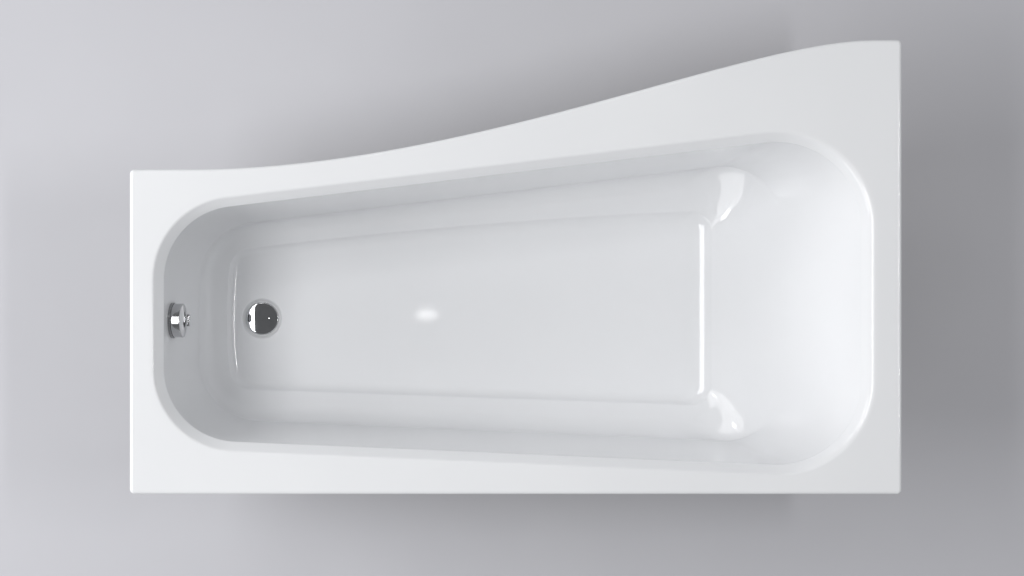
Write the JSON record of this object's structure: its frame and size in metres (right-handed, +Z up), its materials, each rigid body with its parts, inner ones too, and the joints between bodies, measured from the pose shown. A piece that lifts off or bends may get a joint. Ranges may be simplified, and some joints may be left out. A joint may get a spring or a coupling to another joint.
{
  "type": "corner bathtub",
  "caption": "Asymmetric acrylic corner bathtub, wide at the head and narrow at the foot, with a curved front, stepped floor, rotary overflow, domed plug and levelling legs.",
  "frame": {"origin": "on the room's floor, under the middle of the rim's box", "axes": "+X from the narrow foot end to the wide head end, +Y from the wall side to the curved front, +Z up"},
  "size_m": [1.7, 1, 0.57],
  "materials": {
    "acrylic": "glossy",
    "board": "raw",
    "galvanised_steel": "galvanised",
    "zinc_steel": "zinc plated",
    "stainless": "satin",
    "chrome": "polished",
    "brass": "turned",
    "rubber": "matt",
    "black_plastic": "moulded",
    "white_pipe": "extruded",
    "cable_sheath": "smooth"
  },
  "bodies": {
    "tub": {"acrylic_shell": "acrylic", "base_board": "board", "rim_board_front": "board", "rim_board_head": "board", "cross_rail_foot": "galvanised_steel", "cross_rail_head": "galvanised_steel", "rail_screws": "zinc_steel", "weld_nuts": "zinc_steel", "lock_nuts": "zinc_steel", "drain_seal": "rubber", "drain_flange": "stainless", "drain_screw": "stainless", "waste_gasket": "rubber", "waste_body": "black_plastic", "rocker_pin": "stainless", "trap_inlet_nut": "black_plastic", "trap_bend": "white_pipe", "trap_outlet_nut": "black_plastic", "outlet_pipe": "white_pipe", "overflow_rosette": "chrome", "overflow_gasket": "rubber", "overflow_body": "black_plastic", "overflow_screws": "stainless", "overflow_pipe": "white_pipe", "overflow_nut_top": "black_plastic", "overflow_nut_base": "black_plastic", "control_cable": "cable_sheath"},
    "knob": {"overflow_knob": "chrome", "knob_spindle": "brass", "cable_cam": "black_plastic"},
    "plug": {"drain_plug": "chrome", "plug_stem": "brass", "plug_seal": "rubber"},
    "rocker": {"lift_rocker": "brass"},
    "leg_foot_wall": {"leg_spindle_foot_wall": "zinc_steel", "leg_pad_foot_wall": "black_plastic"},
    "leg_foot_front": {"leg_spindle_foot_front": "zinc_steel", "leg_pad_foot_front": "black_plastic"},
    "leg_head_wall": {"leg_spindle_head_wall": "zinc_steel", "leg_pad_head_wall": "black_plastic"},
    "leg_head_front": {"leg_spindle_head_front": "zinc_steel", "leg_pad_head_front": "black_plastic"}
  },
  "joints": [
    {"name": "knob_turn", "type": "hinge", "parent": "tub", "child": "knob", "pos_m": [-0.77054, -0.119, 0.475], "axis": [0.9945, 0, 0.1045], "range_deg": [0, 90]},
    {"name": "plug_lift", "type": "slide", "parent": "tub", "child": "plug", "axis": [0, 0, 1], "range_m": [0, 0.009]},
    {"name": "rocker_swing", "type": "hinge", "parent": "tub", "child": "rocker", "pos_m": [-0.584, -0.119, 0.09565], "axis": [0, 1, 0], "range_deg": [0, 25.36]},
    {"name": "level_foot_wall", "type": "slide", "parent": "tub", "child": "leg_foot_wall", "axis": [0, 0, -1], "range_m": [-0.015, 0.012]},
    {"name": "level_foot_front", "type": "slide", "parent": "tub", "child": "leg_foot_front", "axis": [0, 0, -1], "range_m": [-0.015, 0.012]},
    {"name": "level_head_wall", "type": "slide", "parent": "tub", "child": "leg_head_wall", "axis": [0, 0, -1], "range_m": [-0.015, 0.012]},
    {"name": "level_head_front", "type": "slide", "parent": "tub", "child": "leg_head_front", "axis": [0, 0, -1], "range_m": [-0.015, 0.012]}
  ],
  "couplings": [
    {"joint": "plug_lift", "follows": "knob_turn", "m_per_rad": 0.0057295},
    {"joint": "rocker_swing", "follows": "knob_turn", "ratio": 0.28179}
  ]
}
